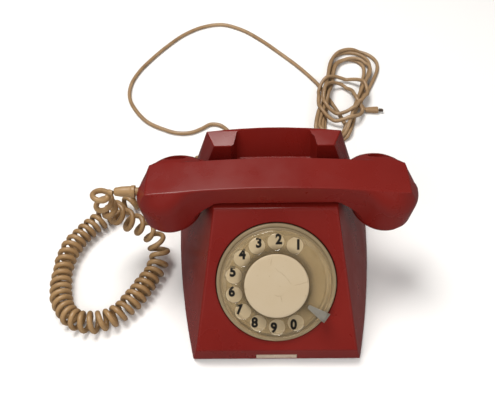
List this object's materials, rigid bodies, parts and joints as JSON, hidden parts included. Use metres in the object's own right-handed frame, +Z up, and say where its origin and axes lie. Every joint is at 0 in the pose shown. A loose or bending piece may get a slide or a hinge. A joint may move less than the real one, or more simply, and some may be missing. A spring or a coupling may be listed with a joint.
{
  "type": "rotary telephone",
  "caption": "Desk telephone with a wedge-shaped housing, sloping rotary dial, cradle switch, bell set, handset on a curly cord and a tied line cord.",
  "frame": {"origin": "on the surface the telephone stands on, under the middle of the telephone's outline without its cords", "axes": "+X to the right as seen from the front, along the handset; +Y to the rear; +Z up; the dial faces -Y and up"},
  "size_m": [0.3344, 0.4727, 0.1223],
  "materials": {
    "shell_red": "glossy moulded plastic, slightly worn",
    "cap_red": "glossy",
    "ivory": "semi-gloss, crazed",
    "plate_beige": "semi-gloss, yellowed",
    "clear_amber": "clear, yellowed",
    "card": "matt card",
    "steel": "plain",
    "brass": "satin",
    "bell_metal": "satin",
    "black_plastic": "matt",
    "foot_rubber": "matt",
    "board": "matt",
    "copper_winding": "wound enamelled wire",
    "cord_tan": "satin vinyl",
    "cord_tip": "satin"
  },
  "bodies": {
    "base": {"number_plate": "plate_beige", "finger_stop": "steel", "dial_frame": "steel", "return_spring": "steel", "dial_bridge": "steel", "governor_cup": "brass", "pulse_contacts": "black_plastic", "housing_shell": "shell_red", "base_plate": "black_plastic", "foot_front_left": "foot_rubber", "foot_front_right": "foot_rubber", "foot_rear_left": "foot_rubber", "foot_rear_right": "foot_rubber", "base_screw_front_left": "steel", "base_screw_front_right": "steel", "base_screw_rear_left": "steel", "base_screw_rear_right": "steel", "label_card": "card", "label_window": "clear_amber", "hook_pin": "steel", "hook_bracket_left": "steel", "hook_bracket_right": "steel", "hook_spring": "steel", "hook_switch": "black_plastic", "gong_left": "bell_metal", "gong_right": "bell_metal", "ringer_frame": "steel", "ringer_coil": "copper_winding", "ringer_core": "steel", "circuit_board": "board", "induction_coil": "copper_winding", "capacitor": "brass", "terminal_block": "ivory", "curly_cord": "cord_tan", "line_cord_gland": "cord_tan", "curly_cord_gland": "cord_tan", "line_cord": "cord_tan", "line_cord_hank": "cord_tan", "line_end_sleeve": "cord_tan", "line_end_tip": "cord_tip"},
    "dial": {"finger_wheel": "clear_amber", "disc_holder": "ivory", "disc_card": "card", "disc_cover": "ivory", "dial_shaft": "steel", "main_gear": "brass"},
    "pulse": {"pulse_pinion": "brass", "pulse_cam": "black_plastic"},
    "governor": {"governor_spindle": "steel", "governor_weights": "brass"},
    "handset": {"handset_shell": "shell_red", "earpiece_cap": "cap_red", "mouthpiece_cap": "cap_red", "receiver_capsule": "bell_metal", "transmitter_capsule": "bell_metal", "handset_relief": "cord_tan"},
    "plunger_left": {"cradle_plunger_left": "cap_red"},
    "plunger_right": {"cradle_plunger_right": "cap_red"},
    "hook": {"hook_lever": "steel"},
    "clapper": {"ringer_clapper": "brass"}
  },
  "joints": [
    {"name": "dial_spin", "type": "hinge", "parent": "base", "child": "dial", "pos_m": [0, -0.05798, 0.05826], "axis": [0, 0.7232, -0.6906], "range_deg": [0, 330], "stiffness_Nm_per_rad": 0.01, "springref_deg": -20.05},
    {"name": "pulse_spin", "type": "hinge", "parent": "base", "child": "pulse", "pos_m": [-0.005, -0.03839, 0.07877], "axis": [0, 0.7232, -0.6906], "range_deg": [-990, 0]},
    {"name": "governor_spin", "type": "hinge", "parent": "base", "child": "governor", "pos_m": [-0.026, -0.05481, 0.06158], "axis": [0, 0.7232, -0.6906], "range_deg": [-1485, 0]},
    {"name": "handset_lift", "type": "slide", "parent": "base", "child": "handset", "axis": [0, 0, 1], "range_m": [0, 0.12]},
    {"name": "plunger_left_slide", "type": "slide", "parent": "base", "child": "plunger_left", "axis": [0, 0, 1], "range_m": [0, 0.005]},
    {"name": "plunger_right_slide", "type": "slide", "parent": "base", "child": "plunger_right", "axis": [0, 0, 1], "range_m": [0, 0.005]},
    {"name": "hook_tilt", "type": "hinge", "parent": "base", "child": "hook", "pos_m": [0, 0.034, 0.08], "axis": [-1, 0, 0], "range_deg": [0, 13.5]},
    {"name": "clapper_swing", "type": "hinge", "parent": "base", "child": "clapper", "pos_m": [0, 0.046, 0.027], "axis": [0, 0, 1], "range_deg": [-12, 12], "stiffness_Nm_per_rad": 0.0005}
  ],
  "couplings": [
    {"joint": "pulse_spin", "follows": "dial_spin", "ratio": -3},
    {"joint": "governor_spin", "follows": "dial_spin", "ratio": -4.5},
    {"joint": "plunger_left_slide", "follows": "handset_lift", "ratio": 0.0415},
    {"joint": "plunger_right_slide", "follows": "handset_lift", "ratio": 0.0415},
    {"joint": "hook_tilt", "follows": "handset_lift", "rad_per_m": 1.88}
  ]
}
